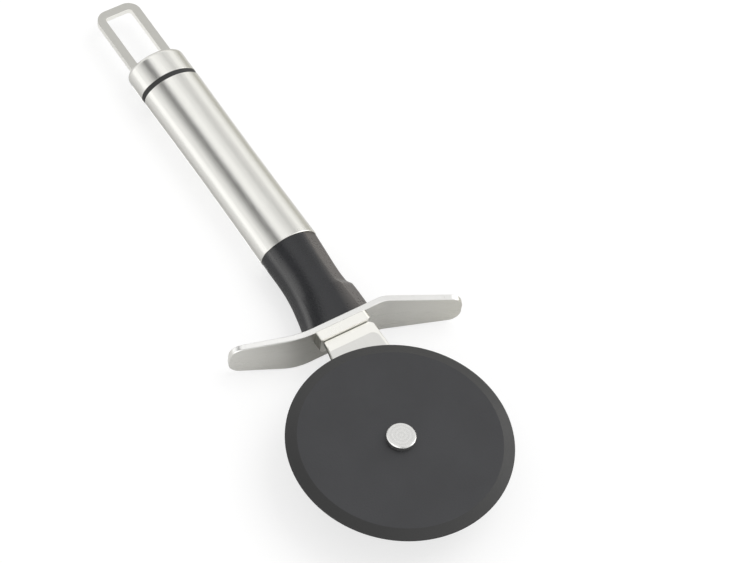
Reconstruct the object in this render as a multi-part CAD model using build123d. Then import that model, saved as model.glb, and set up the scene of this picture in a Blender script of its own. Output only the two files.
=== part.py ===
from build123d import *
from math import atan2, cos, pi, radians, sin, sqrt, tan
import os

os.makedirs("parts", exist_ok=True)

# A pizza cutter: an oval steel handle, a moulded neck, a bent finger guard and a wheel
# that turns on a rivet at the end of a flat arm.
# While it is modelled, X runs from the wheel's axle to the hanging loop, Y lies across the
# handle in the wheel's plane, towards the side that the wheel is offset to, and Z is the
# wheel's axis. The axle is at x = 0, and the handle's centre line is at y = 0 and z = 0.

# The wheel
wheel_radius = 37.5
wheel_thick = 2.9
bevel_width = 3.8
rim_land = 0.3
wheel_side = 13.1
wheel_rise = 10.0

# The axle
axle_radius = 3.0
axle_clearance = 0.05
axle_play = 0.15
head_radius = 4.9
head_thick = 2.1
head_bevel = 0.35
tail_radius = 2.2
tail_head_radius = 3.9
tail_head_thick = 1.3
washer_radius = 6.5
washer_thick = 0.35

# The arm that carries the wheel
arm_thick = 1.8
arm_root_side = 3.75
arm_root_width = 18.5
arm_eye_radius = 9.8
arm_straight = 14.0
arm_waist_radius = 12.0
arm_corner = 2.0
arm_sharp_corner = 1.0
arm_edge_bevel = 0.3
root_round_length = 3.1
root_round_drop = 0.5
web_thick = 2.2
web_inset = 1.5
web_fillet = 2.2
web_foot = 0.6
tang_thick = 2.2
tang_length = 62.0
tang_rise = 3.6
tang_root_width = 10.0
tang_end_width = 7.0
tang_pin_radius = 1.5
tang_pin_step = 9.0
tang_pin_end = 6.0

# The finger guard and the block in front of it
guard_reach = 49.8
guard_thick = 2.2
guard_half_height = 8.65
guard_tip_half_height = 5.8
finger_bend = 19.4
thumb_bend = 13.5
finger_tip = 41.4
thumb_tip = 38.8
finger_wing_angle = 20.5
thumb_wing_angle = 23.2
finger_bend_radius = 28.0
thumb_bend_radius = 10.0
guard_tip_flat = 2.4
guard_taper_round = 40.0
guard_edge_bevel = 0.25
block_side = 3.95
block_width = 20.3
block_depth = 3.6
block_height = 7.7
block_side_round = 2.3
block_corner_round = 2.6
block_sharp_round = 0.5
seam = 0.08

# The moulded neck
neck_length = 35.9
neck_step = 0.22
neck_half_height = 7.55
lip_place = 12.4
lip_length = 2.1
spigot_end_wall = 5.78
thumb_face_angle = 41.0
thumb_face_by_guard = 8.4
thumb_face_front = 8.3
thumb_face_by_lip = 7.5
thumb_face_middle = 7.8
thumb_face_by_tube = 8.45
thumb_lip_round = 4.0
thumb_face_round = 150.0

# The steel tube, and the end arcs of every oval as a share of its half height
oval_end_share = 0.78
tube_length = 77.6
tube_half_width = 10.97
tube_half_height = 7.93
tube_waist = 0.25
tube_wall = 0.8
tube_edge_bevel = 0.15
tube_spans = 4

# The ring, the cap, the plug inside them and the hanging loop
ring_width = 1.85
ring_recess = 0.15
cap_length = 11.0
cap_wall = 0.9
cap_round = 2.4
plug_length = 22.0
plug_end_gap = 0.7
loop_reach = 27.8
loop_inset = 2.62
loop_leg = 3.1
loop_bar = 3.0
loop_thick = 2.1
loop_corner = 4.7
loop_inner_corner = 1.4
loop_root = 12.0
loop_pin_radius = 0.8
loop_pin_end = 3.0

# Clearances and the overrun of the cuts
fit = 0.1
overrun = 1.0

# Places along X, and the loop's width, which follows the cap's
guard_front = guard_reach
guard_back = guard_front + guard_thick
neck_start = guard_back + seam
neck_end = guard_back + neck_length
tube_end = neck_end + tube_length
ring_end = tube_end + ring_width
cap_end = ring_end + cap_length
loop_end = cap_end + loop_reach
loop_width = 2 * (tube_half_width - loop_inset)
block_front = guard_front - block_depth
arm_root = block_front - seam
tang_end = arm_root + tang_length
spigot_end = tang_end + spigot_end_wall

# Places along Z
wheel_bottom = wheel_rise - wheel_thick / 2
wheel_top = wheel_rise + wheel_thick / 2
washer_top = wheel_bottom - axle_play
arm_top = washer_top - washer_thick
arm_bottom = arm_top - arm_thick
head_bottom = wheel_top + axle_play
tang_low = tang_rise - tang_thick / 2
tang_high = tang_rise + tang_thick / 2


def oval(x, half_width, half_height, side=0):
    """A flat oval across the handle at a place along X, made of four arcs."""
    wide, tall = half_width, half_height
    end_radius = oval_end_share * tall
    side_radius = (wide * wide + tall * tall - 2 * wide * end_radius) / (2 * (tall - end_radius))
    end_centre, side_centre = wide - end_radius, side_radius - tall
    reach = sqrt(end_centre * end_centre + side_centre * side_centre)
    join_x = end_centre + end_radius * end_centre / reach
    join_y = end_radius * side_centre / reach
    outline = (ThreePointArc((join_x, -join_y), (wide, 0), (join_x, join_y))
               + ThreePointArc((join_x, join_y), (0, tall), (-join_x, join_y))
               + ThreePointArc((-join_x, join_y), (-wide, 0), (-join_x, -join_y))
               + ThreePointArc((-join_x, -join_y), (0, -tall), (join_x, -join_y)))
    return Plane.YZ.offset(x) * Pos(side, 0) * make_face(outline)


def slab(outline, low, high):
    """A plan outline given a bottom and a top."""
    return Pos(0, 0, low) * extrude(outline, high - low)


def block(x_low, x_high, y_low, y_high, z_low, z_high):
    """A box given by its limits."""
    size = (x_high - x_low, y_high - y_low, z_high - z_low)
    middle = ((x_low + x_high) / 2, (y_low + y_high) / 2, (z_low + z_high) / 2)
    return Pos(*middle) * Box(*size)


def tangent_point(start, centre, radius, left):
    """Where a line from start touches a circle, on its left or its right."""
    dx, dy = centre[0] - start[0], centre[1] - start[1]
    reach = sqrt(dx * dx + dy * dy)
    turn = (1 if left else -1) * atan2(radius, sqrt(reach * reach - radius * radius))
    length = sqrt(reach * reach - radius * radius)
    heading = atan2(dy, dx) + turn
    return (start[0] + length * cos(heading), start[1] + length * sin(heading))


def rod(x, y, radius, low, high):
    """A round rod along Z."""
    return Pos(x, y, low) * extrude(Circle(radius), high - low)


def make_wheel():
    """The disc: flat faces, a bevel on both sides of the rim and the bore."""
    bore = axle_radius + axle_clearance
    flat = wheel_radius - bevel_width
    half = wheel_thick / 2
    land = rim_land / 2
    profile = Polyline(
        (bore, -half), (flat, -half), (wheel_radius, -land), (wheel_radius, land),
        (flat, half), (bore, half), close=True)
    disc = revolve(Plane.XZ * make_face(profile), Axis.Z)
    return Pos(0, wheel_side, wheel_rise) * disc


def make_rivet():
    """The axle: a round head, the shoulder that the wheel turns on and the peened tail."""
    head = rod(0, 0, head_radius, head_bottom, head_bottom + head_thick)
    head = chamfer(head.faces().sort_by(Axis.Z)[-1].edges(), head_bevel)
    shoulder = rod(0, 0, axle_radius, washer_top - washer_thick, head_bottom)
    tail = rod(0, 0, tail_radius, arm_bottom, arm_top)
    peened = rod(0, 0, tail_head_radius, arm_bottom - tail_head_thick, arm_bottom)
    peened = chamfer(peened.faces().sort_by(Axis.Z)[0].edges(), tail_head_thick / 2)
    return Pos(0, wheel_side, 0) * (head + shoulder + tail + peened)


def make_washer():
    """The thin washer that keeps the wheel off the arm."""
    ring = Circle(washer_radius) - Circle(axle_radius + fit / 2)
    return Pos(0, wheel_side, 0) * slab(ring, arm_top, washer_top)


def arm_outline():
    """The arm from above: straight by the block, then drawn in to the eye round the axle."""
    eye = (0, wheel_side)
    right = arm_root_side - arm_root_width / 2
    left = arm_root_side + arm_root_width / 2
    bend = (arm_root - arm_straight, right)
    right_touch = tangent_point(bend, eye, arm_eye_radius, True)
    left_touch = tangent_point((arm_root, left), eye, arm_eye_radius, False)
    sides = make_face(Polyline((arm_root, right), bend, right_touch, eye, left_touch,
                               (arm_root, left), close=True))
    face = sides + Pos(*eye) * Circle(arm_eye_radius)
    waist = face.vertices().sort_by_distance((bend[0], bend[1], 0))[0]
    face = fillet(waist, arm_waist_radius)
    face = fillet(face.vertices().group_by(Axis.X)[-1].sort_by(Axis.Y)[0], arm_corner)
    return fillet(face.vertices().group_by(Axis.X)[-1].sort_by(Axis.Y)[-1], arm_sharp_corner)


def tang_outline(grow=0):
    """The tang from above, tapering from the block into the neck's spigot."""
    root, end = arm_root - overrun, tang_end + grow
    root_half = tang_root_width / 2 + grow
    end_half = tang_end_width / 2 + grow
    return make_face(Polyline(
        (root, arm_root_side - root_half), (end, -end_half), (end, end_half),
        (root, arm_root_side + root_half), close=True))


def tang_pin_places():
    last = tang_end - tang_pin_end
    return [last - tang_pin_step, last]


def make_arm():
    """The flat arm, its rounded root, the web that turns down and the tang."""
    plate = slab(arm_outline(), arm_bottom, arm_top)
    plate = chamfer(plate.faces().sort_by(Axis.Z)[-1].edges(), arm_edge_bevel)
    start = arm_root - root_round_length
    low = arm_top - root_round_drop
    root_cut = make_face(
        RadiusArc((start, arm_top), (arm_root + overrun, low - root_round_drop),
                  -root_round_length * root_round_length / root_round_drop)
        + Polyline((arm_root + overrun, low - root_round_drop),
                   (arm_root + overrun, arm_top + overrun),
                   (start, arm_top + overrun), (start, arm_top)))
    wide = arm_root_width
    plate -= Pos(0, arm_root_side + wide, 0) * extrude(Plane.XZ * root_cut, 2 * wide)
    front = arm_root - web_thick
    web_low = tang_low - web_foot
    web_side = make_face(
        Polyline((arm_root, web_low), (front, web_low), (front, arm_bottom - web_fillet))
        + RadiusArc((front, arm_bottom - web_fillet), (front - web_fillet, arm_bottom), web_fillet)
        + Polyline((front - web_fillet, arm_bottom), (front - web_fillet, arm_bottom + arm_thick / 2),
                   (arm_root, arm_bottom + arm_thick / 2), (arm_root, web_low)))
    web_width = arm_root_width - 2 * web_inset
    web = Pos(0, arm_root_side + web_width / 2, 0) * extrude(Plane.XZ * web_side, web_width)
    tang = slab(tang_outline(), tang_low, tang_high)
    arm = plate + web + tang
    arm -= rod(0, wheel_side, tail_radius, arm_bottom - overrun, arm_top + overrun)
    for x in tang_pin_places():
        arm -= rod(x, 0, tang_pin_radius, tang_low - overrun, tang_high + overrun)
    return arm


def make_tang_pins():
    """Two cross pins that lock the tang in the spigot, under the tube."""
    half = neck_half_height - tube_wall - fit
    return [rod(x, 0, tang_pin_radius, -half, half) for x in tang_pin_places()]


def wing_blank(bend, tip, angle):
    """What the strip is cut from, seen square to one wing: lower towards its rounded tip."""
    run = (tip - bend) / cos(radians(angle))
    far = finger_tip + thumb_tip
    tall, low = guard_half_height, guard_tip_half_height
    outline = make_face(Polyline((-far, -tall), (0, -tall), (run, -low), (run, low),
                                 (0, tall), (-far, tall), close=True))
    outline = fillet(outline.vertices().group_by(Axis.X)[1], guard_taper_round)
    outline = fillet(outline.vertices().group_by(Axis.X)[-1], low - guard_tip_flat / 2)
    return extrude(Plane.YZ * outline, far, both=True)


def make_guard():
    """The strip: bent both ways in plan, bevelled all round its rim and slotted for the tang."""
    middle = guard_front + guard_thick / 2
    finger_run = finger_tip + overrun - finger_bend
    thumb_run = thumb_tip + overrun - thumb_bend
    path = FilletPolyline(
        (middle + finger_run * tan(radians(finger_wing_angle)), finger_bend + finger_run),
        (middle, finger_bend), (middle, -thumb_bend),
        (middle - thumb_run * tan(radians(thumb_wing_angle)), -thumb_bend - thumb_run),
        radius=[finger_bend_radius, thumb_bend_radius])
    tall = guard_half_height + overrun
    shape = slab(trace(path, guard_thick), -tall, tall)
    shape &= (Pos(middle, finger_bend) * Rot(0, 0, -finger_wing_angle)
              * wing_blank(finger_bend, finger_tip, finger_wing_angle))
    shape &= (Pos(middle, -thumb_bend) * Rot(0, 0, 180 - thumb_wing_angle)
              * wing_blank(thumb_bend, thumb_tip, thumb_wing_angle))
    upright = shape.edges().filter_by(Axis.Z)
    bend_lines = [edge for edge in upright if edge.length > guard_tip_flat + overrun]
    rim = [edge for edge in shape.edges() if edge not in bend_lines]
    shape = chamfer(rim, guard_edge_bevel)
    return shape - slab(tang_outline(fit), tang_low - fit, tang_high + fit)


def make_block():
    """The block on the guard's front, rounded at its sides and one corner, with the tang's slot."""
    half = block_width / 2
    body = block(block_front, guard_front, block_side - half, block_side + half,
                 guard_half_height - block_height, guard_half_height)
    long_edges = body.edges().filter_by(Axis.X)
    sharp = long_edges.group_by(Axis.Y)[-1].sort_by(Axis.Z)[-1]
    body = fillet([edge for edge in long_edges if edge != sharp], block_side_round)
    left_top = body.edges().filter_by(Axis.X).group_by(Axis.Y)[-1].sort_by(Axis.Z)[-1]
    body = fillet(left_top, block_sharp_round)
    plan = Pos((block_front + guard_front) / 2, block_side) * Rectangle(block_depth, block_width)
    plan = fillet(plan.vertices().group_by(Axis.X)[0].sort_by(Axis.Y)[0], block_corner_round)
    body &= slab(plan, -guard_half_height, guard_half_height)
    return body - slab(tang_outline(fit), tang_low - fit, tang_high + fit)


def neck_oval(place, finger_side, thumb_side):
    """An oval of the neck: its place from the guard and how far it reaches to each side."""
    return oval(neck_start + place, (finger_side + thumb_side) / 2, neck_half_height,
                (finger_side - thumb_side) / 2)


def make_neck():
    """The moulding: it sweeps out on the finger side and has a thumb rest with a lip."""
    tube_side = tube_half_width - neck_step
    front_shares = [(0.0, 1.49, 1.01), (0.33, 1.33, 1.015), (0.66, 1.22, 1.02), (1.0, 1.135, 1.01)]
    rest_shares = [(0.0, 1.095, 0.9), (0.19, 1.04, 0.885), (0.42, 1.005, 0.91),
                   (0.72, 1.0, 0.955), (1.0, 1.0, 1.0)]
    rest_start = lip_place + lip_length
    rest_length = neck_end - neck_start - rest_start
    lip_shares = [(0.0, 1.135, 1.01), (0.25, 1.125, 0.995), (0.5, 1.115, 0.955),
                  (0.75, 1.105, 0.915), (1.0, 1.095, 0.9)]
    front = [neck_oval(lip_place * share, tube_side * finger, tube_side * thumb)
             for share, finger, thumb in front_shares]
    lip = [neck_oval(lip_place + lip_length * share, tube_side * finger, tube_side * thumb)
           for share, finger, thumb in lip_shares]
    rest = [neck_oval(rest_start + rest_length * share, tube_side * finger, tube_side * thumb)
            for share, finger, thumb in rest_shares]
    body = loft(front) + loft(lip) + loft(rest)
    body -= thumb_face_cut(rest_start, rest_length)
    spigot_half_width = tube_half_width - tube_waist - tube_wall - fit
    spigot_half_height = tube_half_height - tube_waist - tube_wall - fit
    body += extrude(oval(neck_end - overrun, spigot_half_width, spigot_half_height),
                    spigot_end - neck_end + overrun)
    body -= slab(tang_outline(fit), tang_low - fit, tang_high + fit)
    for x in tang_pin_places():
        body -= rod(x, 0, tang_pin_radius, -neck_half_height, neck_half_height)
    return body


def thumb_face_cut(rest_start, rest_length):
    """What is cut away above the flat face on the neck's upper thumb side."""
    outside = tube_half_width + overrun
    lip_back = neck_start + rest_start
    profile = make_face(Polyline(
        (neck_start - overrun, outside), (neck_start - overrun, thumb_face_by_guard),
        (lip_back - lip_length, thumb_face_front), (lip_back, thumb_face_by_lip),
        (lip_back + rest_length / 2, thumb_face_middle), (neck_end, thumb_face_by_tube),
        (neck_end + overrun, thumb_face_by_tube), (neck_end + overrun, outside), close=True))
    corners = profile.vertices().sort_by(Axis.X)
    profile = fillet(corners[2:4], thumb_lip_round)
    halfway = (lip_back + rest_length / 2, thumb_face_middle, 0)
    middle = profile.vertices().sort_by_distance(halfway)[0]
    profile = fillet(middle, thumb_face_round)
    prism = Pos(0, outside, 0) * extrude(Plane.XZ * profile, 2 * outside)
    return Rot(thumb_face_angle, 0, 0) * prism


def make_tube():
    """The oval tube, slightly slimmer at its middle, with a straight bore."""
    sections = []
    for step in range(tube_spans + 1):
        share = step / tube_spans
        draw_in = tube_waist * sin(pi * share)
        sections.append(oval(neck_end + tube_length * share, tube_half_width - draw_in,
                             tube_half_height - draw_in))
    outer = loft(sections, ruled=True)
    rims = outer.edges().group_by(Axis.X)
    outer = chamfer(rims[0] + rims[-1], tube_edge_bevel)
    inset = tube_waist + tube_wall
    bore = oval(neck_end - overrun, tube_half_width - inset, tube_half_height - inset)
    return outer - extrude(bore, tube_length + 2 * overrun)


def make_ring():
    """The dark ring between the tube and the cap."""
    wide, tall = tube_half_width - ring_recess, tube_half_height - ring_recess
    bore = tube_wall - ring_recess + fit / 2
    ring = oval(tube_end, wide, tall) - oval(tube_end, wide - bore, tall - bore)
    return extrude(ring, ring_width)


def leg_slots(grow, x_low, x_high):
    """Room for the loop's two legs."""
    centre = (loop_width - loop_leg) / 2
    half = loop_leg / 2 + grow
    tall = loop_thick / 2 + grow
    return [block(x_low, x_high, side * centre - half, side * centre + half, -tall, tall)
            for side in (-1, 1)]


def make_cap():
    """The steel cap: an oval cup with a rounded end and two slots for the loop."""
    cup = extrude(oval(ring_end, tube_half_width, tube_half_height), cap_length)
    cup = fillet(cup.faces().sort_by(Axis.X)[-1].edges(), cap_round)
    wide, tall = tube_half_width - cap_wall, tube_half_height - cap_wall
    hollow = extrude(oval(ring_end, wide, tall), cap_length - cap_wall)
    hollow = chamfer(hollow.faces().sort_by(Axis.X)[-1].edges(), (cap_round - cap_wall) / 2)
    cup -= hollow
    for slot in leg_slots(fit, cap_end - cap_wall - overrun, cap_end + overrun):
        cup -= slot
    return cup


def loop_pin_places():
    x = cap_end - loop_root + loop_pin_end
    centre = (loop_width - loop_leg) / 2
    return [(x, -centre), (x, centre)]


def make_plug():
    """The plug: it fills the end of the tube, the ring and the cap, and holds the loop."""
    wide = tube_half_width - tube_waist - tube_wall - fit
    tall = tube_half_height - tube_waist - tube_wall - fit
    start = tube_end - plug_length
    end = cap_end - cap_wall - plug_end_gap
    plug = extrude(oval(start, wide, tall), end - start)
    for slot in leg_slots(fit / 2, cap_end - loop_root - fit, cap_end):
        plug -= slot
    for x, y in loop_pin_places():
        plug -= rod(x, y, loop_pin_radius, -tall, tall)
    return plug


def make_loop():
    """The flat hanging loop, open at its root, with a pin hole in each leg."""
    start = cap_end - loop_root
    outer = Pos((start + loop_end) / 2, 0) * Rectangle(loop_end - start, loop_width)
    outer = fillet(outer.vertices().group_by(Axis.X)[-1], loop_corner)
    gap_end = loop_end - loop_bar
    gap_start = start - overrun
    gap = Pos((gap_start + gap_end) / 2, 0) * Rectangle(gap_end - gap_start, loop_width - 2 * loop_leg)
    gap = fillet(gap.vertices().group_by(Axis.X)[-1], loop_inner_corner)
    plate = slab(outer - gap, -loop_thick / 2, loop_thick / 2)
    for x, y in loop_pin_places():
        plate -= rod(x, y, loop_pin_radius, -loop_thick, loop_thick)
    return plate


def make_loop_pins():
    """Two small pins through the plug and the loop's legs."""
    tall = tube_half_height - tube_waist - tube_wall - fit
    centre = (loop_width - loop_leg) / 2
    wide = tube_half_width - tube_waist - tube_wall - fit
    edge = centre + loop_pin_radius
    half = tall * sqrt(1 - (edge / wide) ** 2)
    return [rod(x, y, loop_pin_radius, -half, half) for x, y in loop_pin_places()]


pieces = {
    "cutting_wheel": make_wheel(),
    "axle_rivet": make_rivet(),
    "spacer_washer": make_washer(),
    "arm": make_arm(),
    "tang_pins": make_tang_pins(),
    "finger_guard": make_guard(),
    "guard_block": make_block(),
    "neck": make_neck(),
    "handle_tube": make_tube(),
    "seal_ring": make_ring(),
    "end_cap": make_cap(),
    "cap_plug": make_plug(),
    "hanging_loop": make_loop(),
    "loop_pins": make_loop_pins(),
}

# The origin goes to the middle of the whole tool's box, on the surface that it lies on
solids = {name: [solid for shape in (made if isinstance(made, list) else [made])
                 for solid in shape.solids()] for name, made in pieces.items()}
whole = Compound([solid for group in solids.values() for solid in group])
box = whole.bounding_box()
origin = Vector((box.min.X + box.max.X) / 2, (box.min.Y + box.max.Y) / 2, box.min.Z)

for name, group in solids.items():
    moved = [Pos(-origin.X, -origin.Y, -origin.Z) * solid for solid in group]
    export_step(Compound(moved), "parts/" + name + ".step")

print("box", box.size, "origin at", origin)
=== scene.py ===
# %% [markdown]
# This lesson dresses a pizza cutter. The solids come from the CAD model and stay where they are.
# What is left for Blender is the studio, the camera and the finish of every surface:
# brushed steel on the handle, satin steel on the arm and guard, matt plastic on the wheel and neck.

# %% Load the model
import math

import bpy
from mathutils import Euler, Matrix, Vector


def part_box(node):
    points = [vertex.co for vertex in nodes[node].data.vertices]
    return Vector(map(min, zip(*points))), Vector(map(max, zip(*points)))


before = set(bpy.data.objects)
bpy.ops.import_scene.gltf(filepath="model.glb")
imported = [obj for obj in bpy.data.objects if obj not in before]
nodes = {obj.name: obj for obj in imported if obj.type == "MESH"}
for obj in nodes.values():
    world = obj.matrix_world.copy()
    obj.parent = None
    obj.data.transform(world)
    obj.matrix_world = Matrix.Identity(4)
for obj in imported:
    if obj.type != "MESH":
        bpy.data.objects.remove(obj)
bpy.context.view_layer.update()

# %% [markdown]
# Every length in Blender is in metres. Small sizes read better in millimetres, so one factor
# turns them. The wheel's own middle is the place that the camera is measured from.

# %% Units and the wheel's middle
MM = 0.001
wheel_low, wheel_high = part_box("cutting_wheel")
wheel_middle = (wheel_low + wheel_high) / 2
handle_low, handle_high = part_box("handle_tube")
handle_middle, handle_size = (handle_low + handle_high) / 2, handle_high - handle_low
print("wheel's middle in mm:", [round(value / MM, 2) for value in wheel_middle])

# %% [markdown]
# The picture was taken with a long lens from above the wheel's side of the tool, with the handle
# running away to the upper left. A camera far away with a long lens keeps the tool's proportions.
# It could be aimed with a constraint, but three plain angles say exactly how it is held.

# %% The camera
CAMERA_FROM_WHEEL = Vector((-435.48, 409.04, 911.14)) * MM
CAMERA_ANGLES = (35.3445, -6.3004, -122.7134)  # in degrees
SENSOR_WIDTH = 36.0
LENS_LENGTH = 161.574

camera_data = bpy.data.cameras.new("product_camera")
camera_data.sensor_width = SENSOR_WIDTH
camera_data.lens = LENS_LENGTH
camera = bpy.data.objects.new("product_camera", camera_data)
camera.location = wheel_middle + CAMERA_FROM_WHEEL
camera.rotation_euler = Euler([math.radians(angle) for angle in CAMERA_ANGLES])
bpy.context.scene.collection.objects.link(camera)
bpy.context.scene.camera = camera
bpy.context.scene.view_settings.view_transform = "Standard"
print("camera height in mm:", round(camera.location.z / MM))

# %% [markdown]
# A material is a graph of nodes. These small helpers make a node, set its sockets and link it,
# so that each finish below reads as a list of what it is made of.

# %% Helpers for nodes
RED_SHARE = 0.2


def add_node(tree, kind, settings=None, **inputs):
    """Makes a node, sets its own settings and then its sockets, from values or from links."""
    node = tree.nodes.new(kind)
    for name, value in (settings or {}).items():
        setattr(node, name, value)
    for name, value in inputs.items():
        connect(tree, value, node.inputs[name.replace("_", " ")])
    return node


def connect(tree, value, socket):
    """Links a socket to another one, or gives it a plain value."""
    if isinstance(value, bpy.types.NodeSocket):
        tree.links.new(value, socket)
    else:
        socket.default_value = value


def calculate(tree, operation, *values):
    """A Math node on two or three values."""
    node = add_node(tree, "ShaderNodeMath", {"operation": operation})
    for socket, value in zip(node.inputs, values):
        connect(tree, value, socket)
    return node.outputs[0]


def between(tree, value, low, high, low_result, high_result):
    """Maps a value from one range to another, and clamps it there."""
    node = add_node(tree, "ShaderNodeMapRange", Value=value)
    for name, number in (("From Min", low), ("From Max", high),
                         ("To Min", low_result), ("To Max", high_result)):
        connect(tree, number, node.inputs[name])
    return node.outputs["Result"]


def mix_colours(tree, share, first, second):
    """A colour between two others."""
    node = add_node(tree, "ShaderNodeMix", {"data_type": "RGBA"})
    connect(tree, share, node.inputs[0])
    connect(tree, first, node.inputs[6])
    connect(tree, second, node.inputs[7])
    return node.outputs[2]


def grey(value, warmth=0.0):
    """A nearly neutral colour: warmth takes blue away and adds a little red."""
    return (value * (1 + RED_SHARE * warmth), value, value * (1 - warmth), 1.0)


print("helpers for nodes and colours are ready")

# %% [markdown]
# The next helpers save repeating the same steps in every material: vector maths, the parts of a
# vector, the two ways to say where a point is, and the start and the end of a material's tree.

# %% Helpers for places and materials
def calculate_vector(tree, operation, *vectors):
    """A Vector Math node. A length or a dot product comes out as a plain value."""
    node = add_node(tree, "ShaderNodeVectorMath", {"operation": operation})
    for socket, vector in zip(node.inputs, vectors):
        connect(tree, vector, socket)
    return node.outputs["Value" if operation in ("LENGTH", "DOT_PRODUCT") else "Vector"]


def separate(tree, vector):
    """The X, Y and Z of a vector, as three outputs."""
    sides = tree.nodes.new("ShaderNodeSeparateXYZ")
    connect(tree, vector, sides.inputs[0])
    return sides.outputs


def surface(tree, what):
    """The Position, Normal or True Normal of the surface."""
    return tree.nodes.new("ShaderNodeNewGeometry").outputs[what]


def own_place(tree):
    """The place from the object's own origin, which rides along when the object moves."""
    return tree.nodes.new("ShaderNodeTexCoord").outputs["Object"]


def new_material(name):
    """A material with an empty node tree."""
    material = bpy.data.materials.new(name)
    material.use_nodes = True
    material.node_tree.nodes.clear()
    return material


def show_shader(tree, shader, output_kind="ShaderNodeOutputMaterial"):
    """Sends a finished shader to the output of a material or of the world."""
    output = tree.nodes.new(output_kind)
    tree.links.new(shader.outputs[0], output.inputs["Surface"])


print("helpers for places and materials are ready")

# %% [markdown]
# The studio is a white sweep. The floor is white paint that also glows a little for the camera
# and for reflections, so it reads as pure white and still keeps the tool's shadow. More lamps
# would make it white too, but they would bleach the steel.

# %% The floor
FLOOR_HALF_SIZE = 3.0
FLOOR_PAINT = grey(0.36)
FLOOR_GLOW = 0.68

corner = FLOOR_HALF_SIZE
floor_mesh = bpy.data.meshes.new("floor")
floor_mesh.from_pydata([(-corner, -corner, 0), (corner, -corner, 0), (corner, corner, 0),
                        (-corner, corner, 0)], [], [(0, 1, 2, 3)])
floor = bpy.data.objects.new("floor", floor_mesh)
bpy.context.scene.collection.objects.link(floor)


def seen_directly_or_mirrored(tree):
    """1 for rays from the camera and for rays that metal or glass sends on."""
    path = tree.nodes.new("ShaderNodeLightPath")
    shiny = calculate(tree, "MAXIMUM", path.outputs["Is Glossy Ray"],
                      path.outputs["Is Transmission Ray"])
    return calculate(tree, "MAXIMUM", path.outputs["Is Camera Ray"], shiny)


floor_paint = new_material("floor_paint")
tree = floor_paint.node_tree
paint = add_node(tree, "ShaderNodeBsdfDiffuse", Color=FLOOR_PAINT)
glow = add_node(tree, "ShaderNodeEmission", Color=grey(1.0),
                Strength=calculate(tree, "MULTIPLY", seen_directly_or_mirrored(tree), FLOOR_GLOW))
both = tree.nodes.new("ShaderNodeAddShader")
tree.links.new(paint.outputs[0], both.inputs[0])
tree.links.new(glow.outputs[0], both.inputs[1])
show_shader(tree, both)
floor_mesh.materials.append(floor_paint)
print("floor at z = 0, half size", FLOOR_HALF_SIZE, "m")

# %% [markdown]
# The world is the light tent. It lights the tool evenly from all round, a little under full
# strength, and shows as plain white to the camera and in reflections.

# %% The light tent
TENT_LIGHT = 0.78
TENT_WARMTH = 0.004

world = bpy.data.worlds.new("light_tent")
bpy.context.scene.world = world
world.use_nodes = True
tree = world.node_tree
tree.nodes.clear()
soft = add_node(tree, "ShaderNodeBackground", Color=grey(1.0, TENT_WARMTH), Strength=TENT_LIGHT)
white = add_node(tree, "ShaderNodeBackground", Color=grey(1.0), Strength=1.0)
choose = tree.nodes.new("ShaderNodeMixShader")
connect(tree, seen_directly_or_mirrored(tree), choose.inputs[0])
tree.links.new(soft.outputs[0], choose.inputs[1])
tree.links.new(white.outputs[0], choose.inputs[2])
show_shader(tree, choose, "ShaderNodeOutputWorld")
print("tent light", TENT_LIGHT)

# %% [markdown]
# One large lamp adds direction and a soft shadow. It doesn't show in reflections: what the steel
# mirrors is set by the papers below, as a photographer does it.

# %% The lamp
LAMP_POWER = 7.0
LAMP_SIZE = 1.1
LAMP_FROM_HANDLE = Vector((-0.15, -0.75, 1.35))

lamp_data = bpy.data.lights.new("soft_lamp", "AREA")
lamp_data.energy = LAMP_POWER
lamp_data.size = LAMP_SIZE
lamp = bpy.data.objects.new("soft_lamp", lamp_data)
lamp.location = handle_middle + LAMP_FROM_HANDLE
lamp.rotation_euler = (-LAMP_FROM_HANDLE).to_track_quat("-Z", "Y").to_euler()
lamp.visible_glossy = False
bpy.context.scene.collection.objects.link(lamp)
print("lamp", LAMP_POWER, "W")

# %% [markdown]
# Polished or brushed steel has no look of its own: it shows its surroundings. Photographers of
# products hang papers round the object, bright in some places and dark in others. Here each paper
# is a sheet that glows and that only reflections see, so it casts no shadow and hides nothing.

# %% Paper that only reflections see
def shine_material(name, colour, strength):
    """A plain glow for what only reflections see, from values or from functions of the tree."""
    material = new_material(name)
    tree = material.node_tree
    shine = tree.nodes.new("ShaderNodeEmission")
    for socket_name, value in (("Color", colour), ("Strength", strength)):
        connect(tree, value(tree) if callable(value) else value, shine.inputs[socket_name])
    show_shader(tree, shine)
    return material


def only_for_reflections(thing):
    """Keeps a stage object out of everything but glossy rays."""
    bpy.context.scene.collection.objects.link(thing)
    thing.visible_camera = thing.visible_diffuse = thing.visible_shadow = False
    thing.visible_transmission = False


print("papers are ready")

# %% [markdown]
# The largest paper is half a tube round the handle's axis. A colour ramp over the angle says how
# bright each strip of it is: the dark one draws the streak along the handle. A ramp's colours end
# at 1, so the strips are written as brightness and divided by the brightest.

# %% The strips of the lining
LINING_HALF_ANGLE = 94.0
# Strips of the paper: angle, brightness and warmth
LINING_STRIPS = [
    (-94.0, 0.54, 0.08), (-82.0, 0.88, 0.03), (-70.0, 1.24, 0.01), (-58.0, 0.98, 0.01),
    (-45.0, 0.62, 0.005), (-32.0, 0.84, 0.005), (-20.0, 0.99, 0.0), (-9.0, 1.1, 0.0),
    (2.0, 1.18, 0.0), (9.0, 0.7, 0.0), (16.0, 0.07, 0.0), (22.0, 0.3, 0.0), (29.0, 0.5, 0.0),
    (41.0, 0.95, 0.0), (53.0, 1.16, 0.0), (65.0, 1.32, 0.0), (77.0, 1.34, 0.0), (88.0, 1.26, 0.0),
    (94.0, 1.16, 0.0)]
LINING_PEAK = max(brightness for angle, brightness, warmth in LINING_STRIPS)


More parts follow.
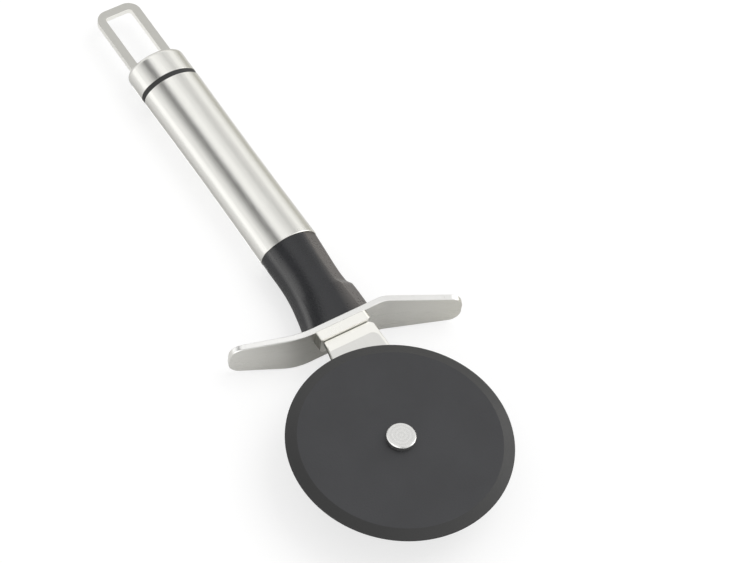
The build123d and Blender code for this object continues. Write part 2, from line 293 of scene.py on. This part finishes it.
def place_on_lining(tree):
    """A point's angle round the handle and its place along it."""
    sides = separate(tree, own_place(tree))
    return calculate(tree, "ARCTAN2", sides["Y"], sides["Z"]), sides["X"]


def colour_ramp(tree, share, stops):
    """A smooth colour ramp over a share of 0 to 1, from its stops' places and colours."""
    ramp = tree.nodes.new("ShaderNodeValToRGB")
    connect(tree, share, ramp.inputs[0])
    ramp.color_ramp.interpolation = "B_SPLINE"
    while len(ramp.color_ramp.elements) < len(stops):
        ramp.color_ramp.elements.new(1.0)
    for stop, (position, colour) in zip(ramp.color_ramp.elements, stops):
        stop.position = position
        stop.color = colour
    return ramp.outputs[0]


def lining_colour(tree):
    """The strips of the lining as a colour ramp over the angle round the handle."""
    angle, _ = place_on_lining(tree)
    reach = math.radians(LINING_HALF_ANGLE)
    return colour_ramp(tree, between(tree, angle, -reach, reach, 0.0, 1.0), [
        (0.5 + degrees / (2 * LINING_HALF_ANGLE), grey(brightness / LINING_PEAK, warmth))
        for degrees, brightness, warmth in LINING_STRIPS])


print("lining with", len(LINING_STRIPS), "strips")

# %% [markdown]
# The paper's glow is stronger by the same factor. Three windows let more light through it, left
# and right by the wheel and at the far end, because the tool's two ends mirror other parts of the
# studio than its middle does.

# %% The windows in the lining
# Windows in the paper: first and last angle, first and last place along it, and the gain
LINING_WINDOWS = {
    "left by the wheel": (46.0, 82.0, -0.9, -0.1, 0.5),
    "right by the wheel": (-84.0, -44.0, -0.9, 0.08, 1.7),
    "far end": (-60.0, 4.0, 0.5, 1.4, 0.12)}
WINDOW_SOFT_ANGLE = 8.0
WINDOW_SOFT_LENGTH = 0.12


def lining_strength(tree):
    """The glow of the paper, stronger behind each window."""
    angle, along = place_on_lining(tree)
    soft_angle = math.radians(WINDOW_SOFT_ANGLE)
    total = 1.0
    for first, last, near, far, gain in LINING_WINDOWS.values():
        first, last = math.radians(first), math.radians(last)
        opening = calculate(tree, "MULTIPLY",
                            between(tree, angle, first - soft_angle, first, 0.0, 1.0),
                            between(tree, angle, last, last + soft_angle, 1.0, 0.0))
        for edge in (between(tree, along, near - WINDOW_SOFT_LENGTH, near, 0.0, 1.0),
                     between(tree, along, far, far + WINDOW_SOFT_LENGTH, 1.0, 0.0)):
            opening = calculate(tree, "MULTIPLY", opening, edge)
        total = calculate(tree, "MULTIPLY_ADD", opening, gain, total)
    return calculate(tree, "MULTIPLY", total, LINING_PEAK)


print("lining with", len(LINING_WINDOWS), "windows")

# %% [markdown]
# The half tube is made from its corners, two for each step of the angle. It hangs over the handle
# and is open towards the floor.

# %% Hang the lining
LINING_RADIUS = 0.8
LINING_LENGTH = 2.6
LINING_STEPS = 48


def hang_lining():
    """Half a tube of paper over the handle, open towards the floor."""
    corners, faces = [], []
    for step in range(LINING_STEPS + 1):
        turn = math.radians(LINING_HALF_ANGLE * (2 * step / LINING_STEPS - 1))
        for end in (-LINING_LENGTH / 2, LINING_LENGTH / 2):
            corners.append((end, LINING_RADIUS * math.sin(turn), LINING_RADIUS * math.cos(turn)))
        if step:
            first = 2 * step - 2
            faces.append((first, first + 1, first + 3, first + 2))
    mesh = bpy.data.meshes.new("lining")
    mesh.from_pydata(corners, [], faces)
    mesh.materials.append(shine_material("lining_paper", lining_colour, lining_strength))
    lining = bpy.data.objects.new("lining", mesh)
    lining.location = handle_middle
    only_for_reflections(lining)


hang_lining()
print("lining in", LINING_STEPS, "steps")

# %% [markdown]
# The steel's lower faces mirror what the tool lies on. A pale board under it, which again only
# reflections see, takes the tool's own shadow, so those faces darken towards the tool as they
# would on any table. Its paint changes across the handle and is a little darker and warmer on the
# thumb's side.

# %% The board under the tool
BOARD_HALF_SIZE = 1.2
BOARD_HEIGHT = 0.05 * MM
BOARD_BANDS_HALF_WIDTH = 100 * MM
# Bands of the board's paint: place across the handle in millimetres, brightness and warmth
BOARD_BANDS = [(-100.0, 0.54, 0.08), (-59.0, 0.64, 0.08), (-35.0, 0.76, 0.03),
               (-20.0, 0.8, 0.0), (0.0, 0.78, 0.0), (17.0, 0.68, 0.0), (26.0, 0.8, 0.0),
               (37.0, 0.84, 0.0), (75.0, 0.97, 0.0)]


def flat_sheet(name, material, height, x_range, y_range, lean=0.0):
    """A level sheet that only reflections see. Its far side can be shifted along the handle."""
    mesh = bpy.data.meshes.new(name)
    (x_low, x_high), (y_low, y_high) = x_range, y_range
    mesh.from_pydata([(x_low + lean, y_low, height), (x_high + lean, y_low, height),
                      (x_high, y_high, height), (x_low, y_high, height)], [], [(0, 1, 2, 3)])
    mesh.materials.append(material)
    only_for_reflections(bpy.data.objects.new(name, mesh))


def board_colour(tree):
    """The board's paint as a colour ramp across the handle."""
    reach = BOARD_BANDS_HALF_WIDTH
    from_middle = calculate(tree, "SUBTRACT", separate(tree, surface(tree, "Position"))["Y"],
                            handle_middle.y)
    return colour_ramp(tree, between(tree, from_middle, -reach, reach, 0.0, 1.0), [
        (0.5 + place * MM / (2 * reach), grey(brightness, warmth))
        for place, brightness, warmth in BOARD_BANDS])


board_paint = new_material("board_paint")
tree = board_paint.node_tree
show_shader(tree, add_node(tree, "ShaderNodeBsdfDiffuse", Color=board_colour(tree)))
board_span = (-BOARD_HALF_SIZE, BOARD_HALF_SIZE)
flat_sheet("board", board_paint, BOARD_HEIGHT, board_span, board_span)
print("board at", BOARD_HEIGHT / MM, "mm")

# %% [markdown]
# Two narrow cards beside the handle and under the loop draw their bright lower edges, and a third
# one, warm and further out, lights the thumb's rest on the neck.

# %% The cards under the tool
CARD_HEIGHT = 0.1 * MM
EDGE_CARD_INNER, EDGE_CARD_OUTER = 5.5 * MM, 11.7 * MM
EDGE_CARD_GLOW = 1.4
LOOP_CARD_HALF_WIDTH = 12.6 * MM
LOOP_CARD_PAST_END = 12 * MM
LOOP_CARD_GLOW = 0.88
THUMB_CARD_LENGTH = 48 * MM
THUMB_CARD_NEAR, THUMB_CARD_FAR = 24 * MM, 260 * MM
THUMB_CARD_LEAN = 0.45
THUMB_CARD_GLOW = 0.8
THUMB_CARD_COLOUR = (1.03, 1.0, 0.97, 1.0)


def lay_card(name, colour, glow, x_range, y_range, lean=0.0):
    """A glowing card under the tool."""
    paper = shine_material(name + "_paper", colour, glow)
    flat_sheet(name, paper, CARD_HEIGHT, x_range, y_range, lean)


cap_end, loop_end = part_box("end_cap")[1].x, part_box("hanging_loop")[1].x
lay_card("edge_card", grey(1.0), EDGE_CARD_GLOW, (handle_low.x, cap_end),
         (handle_middle.y + EDGE_CARD_INNER, handle_middle.y + EDGE_CARD_OUTER))
lay_card("loop_card", grey(1.0), LOOP_CARD_GLOW, (cap_end, loop_end + LOOP_CARD_PAST_END),
         (handle_middle.y - LOOP_CARD_HALF_WIDTH, handle_middle.y + LOOP_CARD_HALF_WIDTH))
thumb_card_end = handle_low.x + THUMB_CARD_LEAN * (THUMB_CARD_NEAR - handle_size.y / 2)
lay_card("thumb_card", THUMB_CARD_COLOUR, THUMB_CARD_GLOW,
         (thumb_card_end - THUMB_CARD_LENGTH, thumb_card_end),
         (handle_middle.y - THUMB_CARD_FAR, handle_middle.y - THUMB_CARD_NEAR),
         lean=THUMB_CARD_LEAN * (THUMB_CARD_FAR - THUMB_CARD_NEAR))
print("three cards under the tool")

# %% [markdown]
# Brushed steel is covered in fine grooves that run one way. Stretching a noise along the brushing
# direction gives them, and the same lines then drive colour, roughness and bump. An image would
# do too, but noise has no seams and follows the solid's own measure. This effect serves several
# materials, so it is a shader node group.

# %% A shader group for brushed lines
NOISE_LOW, NOISE_HIGH = 0.3, 0.7


def new_group(name, inputs, outputs):
    """A shader node group with named sockets. Returns its tree and its two end nodes."""
    group = bpy.data.node_groups.new(name, "ShaderNodeTree")
    for socket_name, kind, value in inputs:
        socket = group.interface.new_socket(socket_name, in_out="INPUT", socket_type=kind)
        if value is not None:
            socket.default_value = value
    for socket_name, kind in outputs:
        group.interface.new_socket(socket_name, in_out="OUTPUT", socket_type=kind)
    return group, group.nodes.new("NodeGroupInput"), group.nodes.new("NodeGroupOutput")


def use_group(tree, group, **inputs):
    """Places a group in a material with that material's own values."""
    node = tree.nodes.new("ShaderNodeGroup")
    node.node_tree = group
    for name, value in inputs.items():
        connect(tree, value, node.inputs[name.replace("_", " ")])
    return node


def noise_mask(tree, place, scale, detail, roughness, low=NOISE_LOW, high=NOISE_HIGH):
    """A noise whose middle range is spread over 0 to 1."""
    noise = add_node(tree, "ShaderNodeTexNoise", Vector=place, Scale=scale, Detail=detail,
                     Roughness=roughness)
    return between(tree, noise.outputs[0], low, high, 0.0, 1.0)


brushed_lines, start, end = new_group(
    "brushed_lines",
    [("Stretch", "NodeSocketVector", (1.0, 1.0, 1.0)), ("Fine", "NodeSocketFloat", 9000.0),
     ("Coarse", "NodeSocketFloat", 1500.0)],
    [("Lines", "NodeSocketFloat"), ("Bands", "NodeSocketFloat")])
stretched = calculate_vector(brushed_lines, "MULTIPLY", own_place(brushed_lines),
                             start.outputs["Stretch"])
fine = noise_mask(brushed_lines, stretched, start.outputs["Fine"], detail=3.0, roughness=0.6)
coarse = noise_mask(brushed_lines, stretched, start.outputs["Coarse"], detail=2.0, roughness=0.5)
connect(brushed_lines, fine, end.inputs["Lines"])
connect(brushed_lines, coarse, end.inputs["Bands"])
print("group", brushed_lines.name)

# %% [markdown]
# Sheet steel and moulded plastic never have razor edges. A Bevel node bends the shading normal
# over a fraction of a millimetre, which catches light as a rounded edge does. How far it bends
# also says where the edge is, so the same group gives a mask for edges, which the materials paint
# lighter, as wear and as a painted highlight.

# %% A shader group for softened edges
BEVEL_SAMPLES = 6
# How alike the bent and the plain normal are where the edge begins and where it is full
EDGE_BEGINS, EDGE_FULL = 0.99, 0.8

soft_edge, start, end = new_group(
    "soft_edge",
    [("Radius", "NodeSocketFloat", 0.0002), ("Normal", "NodeSocketVector", None)],
    [("Normal", "NodeSocketVector"), ("Edge", "NodeSocketFloat")])
rounded = add_node(soft_edge, "ShaderNodeBevel", {"samples": BEVEL_SAMPLES},
                   Radius=start.outputs["Radius"], Normal=start.outputs["Normal"])
plain = add_node(soft_edge, "ShaderNodeBevel", {"samples": BEVEL_SAMPLES},
                 Radius=start.outputs["Radius"])
likeness = calculate_vector(soft_edge, "DOT_PRODUCT", plain.outputs[0],
                            surface(soft_edge, "Normal"))
connect(soft_edge, between(soft_edge, likeness, EDGE_BEGINS, EDGE_FULL, 0.0, 1.0),
        end.inputs["Edge"])
connect(soft_edge, rounded.outputs[0], end.inputs["Normal"])
print("group", soft_edge.name)

# %% [markdown]
# Handling leaves faint smudges: wide, soft patches where the surface is a touch duller. Moulded
# plastic has a fine pebble from the mould. Both are noises, one wide and one small, so one group
# gives both masks.

# %% A shader group for smudges and pebble
PATCH_LOW, PATCH_HIGH = 0.35, 0.65

surface_marks, start, end = new_group(
    "surface_marks",
    [("Patch Scale", "NodeSocketFloat", 60.0), ("Pebble Scale", "NodeSocketFloat", 2500.0)],
    [("Patches", "NodeSocketFloat"), ("Pebble", "NodeSocketFloat")])
place = own_place(surface_marks)
patches = noise_mask(surface_marks, place, start.outputs["Patch Scale"], detail=3.0,
                     roughness=0.55, low=PATCH_LOW, high=PATCH_HIGH)
pebble = noise_mask(surface_marks, place, start.outputs["Pebble Scale"], detail=2.0,
                    roughness=0.5)
connect(surface_marks, patches, end.inputs["Patches"])
connect(surface_marks, pebble, end.inputs["Pebble"])
print("group", surface_marks.name)

# %% [markdown]
# Some faces of the steel get another tone by the way they are turned, as painted light and shade:
# the block's top and front and the guard's tops are painted lighter, the block's other faces
# darker, and the loop's top darker than its sides. Each could be a separate face, but the solids
# stay as they are, so a mask says how much a face belongs to a zone, from the way it is turned.

# %% Masks for faces
LEFT_BEGINS, LEFT_FULL = 0.4, 0.8


def facing(axis, begins, full):
    """A mask maker: 0 to 1 as the surface turns to or from an axis, whichever way along it."""
    def mask(tree):
        turned = separate(tree, surface(tree, "True Normal"))[axis]
        return between(tree, calculate(tree, "ABSOLUTE", turned), begins, full, 0.0, 1.0)
    return mask


def either(*masks):
    """A mask maker: the stronger of several masks."""
    def mask(tree):
        strongest = masks[0](tree)
        for other in masks[1:]:
            strongest = calculate(tree, "MAXIMUM", strongest, other(tree))
        return strongest
    return mask


# This mask carries painted shade on the arm's left side.
def turned_left(tree):
    """A mask for upright faces on the side that the wheel is offset to."""
    turned = separate(tree, surface(tree, "True Normal"))["Y"]
    return between(tree, turned, LEFT_BEGINS, LEFT_FULL, 0.0, 1.0)


print("masks for faces are ready")

# %% [markdown]
# Other zones are found by their place on the tool: a painted highlight for a facet at the arm's
# root that the solid doesn't have, painted shade in the seam before the block, and the rings that a
# lathe leaves on a rivet.

# %% Masks for places
# The arm's painted facet highlight: its width before the block and along the thumb's side, the
# radius of its inner corner and half the width over which it fades
ROOT_FACET, SIDE_FACET = 4.7 * MM, 1.1 * MM
FACET_CORNER, FACET_FADE = 2.5 * MM, 0.2 * MM
# How far before the block the seam's painted shade begins, and from where it is full
SEAM_BEGINS, SEAM_FULL = 0.4 * MM, 0.2 * MM
RING_SPACING = 1.3 * MM
block_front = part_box("guard_block")[0].x
arm_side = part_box("arm")[0].y


def seam(tree):
    """A mask for painted shade on the last bit of the arm before the block."""
    place = separate(tree, surface(tree, "Position"))["X"]
    return between(tree, place, block_front - SEAM_BEGINS, block_front - SEAM_FULL, 0.0, 1.0)


def root_facet_highlight(tree):
    """A mask for the arm's painted facet highlight: along its root and, narrower, its thumb side.
    """
    place = separate(tree, surface(tree, "Position"))
    past_root = calculate(tree, "SUBTRACT", place["X"], block_front - ROOT_FACET - FACET_CORNER)
    past_side = calculate(tree, "SUBTRACT", arm_side + SIDE_FACET + FACET_CORNER, place["Y"])
    squares = []
    for past in (past_root, past_side):
        inside = calculate(tree, "MAXIMUM", past, 0.0)
        squares.append(calculate(tree, "MULTIPLY", inside, inside))
    reach = calculate(tree, "SQRT", calculate(tree, "ADD", *squares))
    return between(tree, reach, FACET_CORNER - FACET_FADE, FACET_CORNER + FACET_FADE, 0.0, 1.0)


def turned_rings(tree):
    """Rings round the axle, as a lathe leaves them on the rivet's head."""
    away = calculate_vector(tree, "SUBTRACT", surface(tree, "Position"), wheel_middle)
    level = calculate_vector(tree, "MULTIPLY", away, (1.0, 1.0, 0.0))
    turn = calculate(tree, "MULTIPLY", calculate_vector(tree, "LENGTH", level),
                     2 * math.pi / RING_SPACING)
    return between(tree, calculate(tree, "SINE", turn), -1.0, 1.0, 0.0, 1.0)


print("the block's front is at", round(block_front / MM, 2), "mm")

# %% [markdown]
# Steel comes here in several finishes that differ in tone, gloss and the direction of the
# brushing, so one function makes them all. The colour is the steel's own reflectance, apart from
# painted zones. The lines change the roughness from groove to groove, and a very low bump bends the
# reflections. Zones of painted light and painted shade are each a mask and a colour, and a painted
# zone can be shaded as if it were flat. Edges are painted a shade lighter, as wear and as a painted
# highlight.

# %% A function for steel
EVEN = (1.0, 1.0, 1.0)
FINE_LINES, COARSE_LINES = 9000.0, 1500.0
GROOVE_DEPTH, GROOVE_STRENGTH = 0.02 * MM, 0.35
STEEL_EDGE = 0.15 * MM
# How much edges are painted lighter, as wear and as a painted highlight
EDGE_SHARE, EDGE_WEAR_AND_SHEEN_LIFT = 0.5, 1.12
SMUDGE_SCALE, SMUDGE_DULLING = 45.0, 0.03
RING_SHARE = 0.6
TOP_BEGINS, TOP_FULL = 0.7, 0.9


def make_steel(name, tone, warmth, smooth, rough, brushing=EVEN, line_depth=0.06, bands_share=0.5,
               painted_zone=None, flat_facet_normal=None, shaded=None, rings=False):
    """A steel with its tone, gloss and brushing, and with its zones of painted light and shade."""
    material = new_material(name)
    tree = material.node_tree
    lines = use_group(tree, brushed_lines, Stretch=brushing, Fine=FINE_LINES, Coarse=COARSE_LINES)
    marks = use_group(tree, surface_marks, Patch_Scale=SMUDGE_SCALE)
    bump = add_node(tree, "ShaderNodeBump", Height=lines.outputs["Lines"], Distance=GROOVE_DEPTH,
                    Strength=GROOVE_STRENGTH)
    edge = use_group(tree, soft_edge, Radius=STEEL_EDGE, Normal=bump.outputs[0])
    normal = edge.outputs["Normal"]
    streak = calculate(tree, "MULTIPLY_ADD", lines.outputs["Bands"], bands_share,
                       calculate(tree, "MULTIPLY", lines.outputs["Lines"], 1 - bands_share))
    if rings:
        streak = calculate(tree, "MULTIPLY_ADD", turned_rings(tree), RING_SHARE,
                           calculate(tree, "MULTIPLY", streak, 1 - RING_SHARE))
    base = mix_colours(tree, streak, grey(tone * (1 - line_depth), warmth), grey(tone, warmth))
    if painted_zone:
        painted_zone_mask, painted_zone_colour = painted_zone
        zone = painted_zone_mask(tree)
        base = mix_colours(tree, zone, base, painted_zone_colour)
        if flat_facet_normal:
            top = calculate(tree, "MULTIPLY", zone, facing("Z", TOP_BEGINS, TOP_FULL)(tree))
            levelled = add_node(tree, "ShaderNodeMix", {"data_type": "VECTOR"})
            for number, value in ((0, top), (4, normal), (5, flat_facet_normal)):
                connect(tree, value, levelled.inputs[number])
            normal = levelled.outputs[1]
    # Edges are painted lighter, as wear and as a painted highlight.
    base = mix_colours(tree, calculate(tree, "MULTIPLY", edge.outputs["Edge"], EDGE_SHARE), base,
                       grey(min(1.0, tone * EDGE_WEAR_AND_SHEEN_LIFT), warmth))
    if shaded:
        shaded_mask, shaded_colour = shaded
        base = mix_colours(tree, shaded_mask(tree), base, shaded_colour)
    gloss = calculate(tree, "MULTIPLY_ADD", marks.outputs["Patches"], SMUDGE_DULLING,
                      between(tree, streak, 0.0, 1.0, smooth, rough))
    show_shader(tree, add_node(tree, "ShaderNodeBsdfPrincipled", Base_Color=base, Metallic=1.0,
                               Roughness=gloss, Normal=normal))
    return material


print("steel is ready to use")

# %% [markdown]
# The handle is brushed along its length. The arm is too, with a painted highlight on a facet at its
# root, shaded as flat because the solid is rounded there, and painted shade on its left side and
# before the block. The guard and the block show level lines on their edges; their tops are painted
# lighter and the block's other faces darker, as painted light and shade. The loop, the pins and the
# rivet's head are plain or turned, and the loop's sides are painted lighter than its top.

# %% The steel finishes
# How the brushing stretches the grooves: along the handle, or in both level directions
ALONG_X = (0.012, 1.0, 1.0)
LEVEL = (0.012, 0.012, 1.0)
FACET_NORMAL = Vector((0.03, 0.0, 1.0)).normalized()

handle_steel = make_steel("handle_steel", tone=0.805, warmth=0.045, smooth=0.13, rough=0.2,
                          brushing=ALONG_X, line_depth=0.12, bands_share=0.25)
# The arm's root facet is a painted highlight with a level shading normal; its left side and the
# seam before the block are painted shade.
arm_steel = make_steel("arm_steel", tone=0.75, warmth=0.035, smooth=0.26, rough=0.36,
                       brushing=ALONG_X, line_depth=0.05, painted_zone=(root_facet_highlight, grey(0.93, 0.05)),
                       flat_facet_normal=FACET_NORMAL,
                       shaded=(either(turned_left, seam), grey(0.22, 0.1)))
# The guard's tops are painted lighter than its other faces: painted light.
guard_steel = make_steel("guard_steel", tone=0.72, warmth=0.05, smooth=0.24, rough=0.34,
                         brushing=LEVEL, line_depth=0.05, bands_share=0.2,
                         painted_zone=(facing("Z", begins=0.5, full=0.8), grey(0.84, 0.02)))
# The block's top and front are painted light and its other faces dark: painted light and shade.
block_painted_faces = either(facing("Z", begins=0.5, full=0.95), facing("X", begins=0.5, full=0.95))
block_steel = make_steel("block_steel", tone=0.3, warmth=0.08, smooth=0.24, rough=0.34,
                         brushing=LEVEL, line_depth=0.04, bands_share=0.2,
                         painted_zone=(block_painted_faces, grey(0.93, 0.05)))
# The loop's sides are painted lighter than its top: painted light and shade.
loop_steel = make_steel("loop_steel", tone=0.95, warmth=0.05, smooth=0.3, rough=0.4,
                        line_depth=0.04,
                        painted_zone=(facing("Z", begins=0.3, full=0.7), grey(0.52, 0.06)))
rivet_steel = make_steel("rivet_steel", tone=0.765, warmth=0.02, smooth=0.2, rough=0.27,
                         line_depth=0.12, rings=True)
pin_steel = make_steel("pin_steel", tone=0.7, warmth=0.03, smooth=0.3, rough=0.4)
print("steels:", [m.name for m in bpy.data.materials if "steel" in m.name])

# %% [markdown]
# Three places on the plastic get painted light and shade: a painted highlight in a stripe on the
# neck's shoulder, painted light on the thumb's rest, and painted shade on the wheel's bevel and
# rim.
# The bevel and the stripe are found by the way the surface faces, and the thumb's place by where
# it lies, so these masks need no painting by hand.

# %% Masks for painted light and shade on plastic
# The painted highlight on the neck's shoulder: its angle, half width and softness
HIGHLIGHT_ANGLE, HIGHLIGHT_HALF_WIDTH, HIGHLIGHT_SOFTNESS = math.radians(42.0), math.radians(15.0), 0.4
# The painted light on the thumb's rest ends along a slanting line, and fades over less and less
# towards the tube
THUMB_EDGE_AT_GUARD, THUMB_EDGE_SLOPE = 0.2 * MM, 0.114
THUMB_LENGTH = 36 * MM
THUMB_FADE_AT_GUARD, THUMB_FADE_AT_TUBE = 5.5 * MM, 1.2 * MM
# How level the wheel's surface is on its bevel and on its flat faces
BEVEL_LEVEL, FACE_LEVEL = 0.965, 0.99
neck_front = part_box("neck")[0].x


def shoulder_highlight(tree):
    """A mask for a painted highlight on the neck's shoulder: a stripe by the way it faces."""
    turned = separate(tree, surface(tree, "Normal"))
    angle = calculate(tree, "ARCTAN2", turned["Y"], turned["Z"])
    away = calculate(tree, "ABSOLUTE", calculate(tree, "SUBTRACT", angle, HIGHLIGHT_ANGLE))
    nearness = between(tree, away, 0.0, HIGHLIGHT_HALF_WIDTH, 1.0, 0.0)
    return calculate(tree, "SMOOTH_MIN", nearness, 1.0, HIGHLIGHT_SOFTNESS)


def thumb_rest_light(tree):
    """A mask for painted light on the thumb's rest: sharp beside the tube and soft beside the
    guard.
    """
    place = separate(tree, surface(tree, "Position"))
    past_guard = calculate(tree, "SUBTRACT", place["X"], neck_front)
    edge = calculate(tree, "MULTIPLY_ADD", past_guard, -THUMB_EDGE_SLOPE,
                     handle_middle.y - THUMB_EDGE_AT_GUARD)
    fade = between(tree, past_guard, 0.0, THUMB_LENGTH, THUMB_FADE_AT_GUARD, THUMB_FADE_AT_TUBE)
    return between(tree, calculate(tree, "SUBTRACT", edge, place["Y"]), 0.0, fade, 0.0, 1.0)


def bevel_shade(tree):
    """A mask for painted shade on the wheel's bevel and rim."""
    level = calculate(tree, "ABSOLUTE", separate(tree, surface(tree, "True Normal"))["Z"])
    return between(tree, level, BEVEL_LEVEL, FACE_LEVEL, 1.0, 0.0)


print("the neck starts at", round(neck_front / MM, 2), "mm")

# %% [markdown]
# The wheel, the neck and the small mouldings are dark or pale plastics. Plastic is a colour under
# a thin clear reflection: the colour stays low and the roughness sets how matt it looks. The
# pebble feeds a low bump, and edges are painted a shade lighter, as wear and as a painted
# highlight. Each place of painted light or shade is again a mask and a colour.

# %% A function for plastic
PLASTIC_PATCH_SCALE, PLASTIC_PATCH_DEPTH = 60.0, 0.08
PEBBLE_STRENGTH = 0.5
PEBBLE_SHARE_OF_GLOSS = 0.5


def make_plastic(name, tone, warmth, smooth, rough, pebble_scale=2500.0, pebble_height=0.01 * MM,
                 edge_radius=0.2 * MM, wear_and_sheen_lift=1.5, painted_places=()):
    """A plastic with its tone, its gloss range, the size of its pebble and its painted light and
    shade.
    """
    material = new_material(name)
    tree = material.node_tree
    marks = use_group(tree, surface_marks, Patch_Scale=PLASTIC_PATCH_SCALE,
                      Pebble_Scale=pebble_scale)
    bump = add_node(tree, "ShaderNodeBump", Height=marks.outputs["Pebble"],
                    Distance=pebble_height, Strength=PEBBLE_STRENGTH)
    edge = use_group(tree, soft_edge, Radius=edge_radius, Normal=bump.outputs[0])
    base = mix_colours(tree, marks.outputs["Patches"],
                       grey(tone * (1 - PLASTIC_PATCH_DEPTH), warmth),
                       grey(tone * (1 + PLASTIC_PATCH_DEPTH), warmth))
    base = mix_colours(tree, edge.outputs["Edge"], base, grey(tone * wear_and_sheen_lift, warmth))
    for mask, colour in painted_places:
        base = mix_colours(tree, mask(tree), base, colour)
    speckle = calculate(tree, "MULTIPLY", marks.outputs["Pebble"], PEBBLE_SHARE_OF_GLOSS)
    gloss = calculate(tree, "MULTIPLY_ADD", marks.outputs["Patches"], 1 - PEBBLE_SHARE_OF_GLOSS,
                      speckle)
    gloss = between(tree, gloss, 0.0, 1.0, smooth, rough)
    show_shader(tree, add_node(tree, "ShaderNodeBsdfPrincipled", Base_Color=base, Roughness=gloss,
                               Normal=edge.outputs["Normal"]))
    return material


print("plastic is ready to use")

# %% [markdown]
# The wheel is matt with a coarse pebble and the neck a little glossier. The ring is rubber, which
# takes the same function with more roughness, and the washer and the plug are plain mouldings.

# %% The plastic and rubber finishes
# Painted light and shade on the plastic: a highlight on the neck's shoulder, light on the thumb's
# rest and shade on the wheel's bevel.
SHOULDER_HIGHLIGHT_GREY = grey(0.088)
THUMB_LIGHT_BROWN = (0.072, 0.065, 0.06, 1.0)
BEVEL_SHADE_GREY = grey(0.0195)

wheel_plastic = make_plastic("wheel_plastic", tone=0.025, warmth=-0.12, smooth=0.42, rough=0.52,
                             pebble_scale=1400.0, pebble_height=0.03 * MM,
                             painted_places=[(bevel_shade, BEVEL_SHADE_GREY)])
neck_plastic = make_plastic("neck_plastic", tone=0.012, warmth=-0.2, smooth=0.22, rough=0.36,
                            pebble_scale=1300.0, pebble_height=0.035 * MM, edge_radius=0.9 * MM,
                            painted_places=[(shoulder_highlight, SHOULDER_HIGHLIGHT_GREY), (thumb_rest_light, THUMB_LIGHT_BROWN)])
ring_rubber = make_plastic("ring_rubber", tone=0.02, warmth=0.0, smooth=0.5, rough=0.6)
washer_plastic = make_plastic("washer_plastic", tone=0.7, warmth=0.02, smooth=0.4, rough=0.5,
                              wear_and_sheen_lift=1.1)
plug_plastic = make_plastic("plug_plastic", tone=0.15, warmth=0.0, smooth=0.4, rough=0.5,
                            wear_and_sheen_lift=1.2)
print("plastics:", [m.name for m in bpy.data.materials if "plastic" in m.name])

# %% [markdown]
# Each node of the CAD model keeps its mesh and gets its finish. Putting the material into the
# object's slot leaves the shape alone, which is all that a finished solid needs.

# %% Dress the solids
FINISHES = {
    "cutting_wheel": (wheel_plastic, "wheel_plastic"), "axle_rivet": (rivet_steel, "rivet_steel"),
    "spacer_washer": (washer_plastic, "washer_plastic"), "arm": (arm_steel, "brushed_steel"),
    "tang_pins": (pin_steel, "pin_steel"), "finger_guard": (guard_steel, "brushed_steel"),
    "guard_block": (block_steel, "brushed_steel"), "neck": (neck_plastic, "neck_plastic"),
    "handle_tube": (handle_steel, "handle_steel"), "seal_ring": (ring_rubber, "ring_rubber"),
    "end_cap": (handle_steel, "handle_steel"), "cap_plug": (plug_plastic, "plug_plastic"),
    "hanging_loop": (loop_steel, "loop_steel"), "loop_pins": (pin_steel, "pin_steel")}

for node_name, (finish, slot_name) in FINISHES.items():
    solid = nodes[node_name]
    solid.data.materials.clear()
    solid.data.materials.append(finish)
print("dressed", len(FINISHES), "of", len(nodes), "nodes")
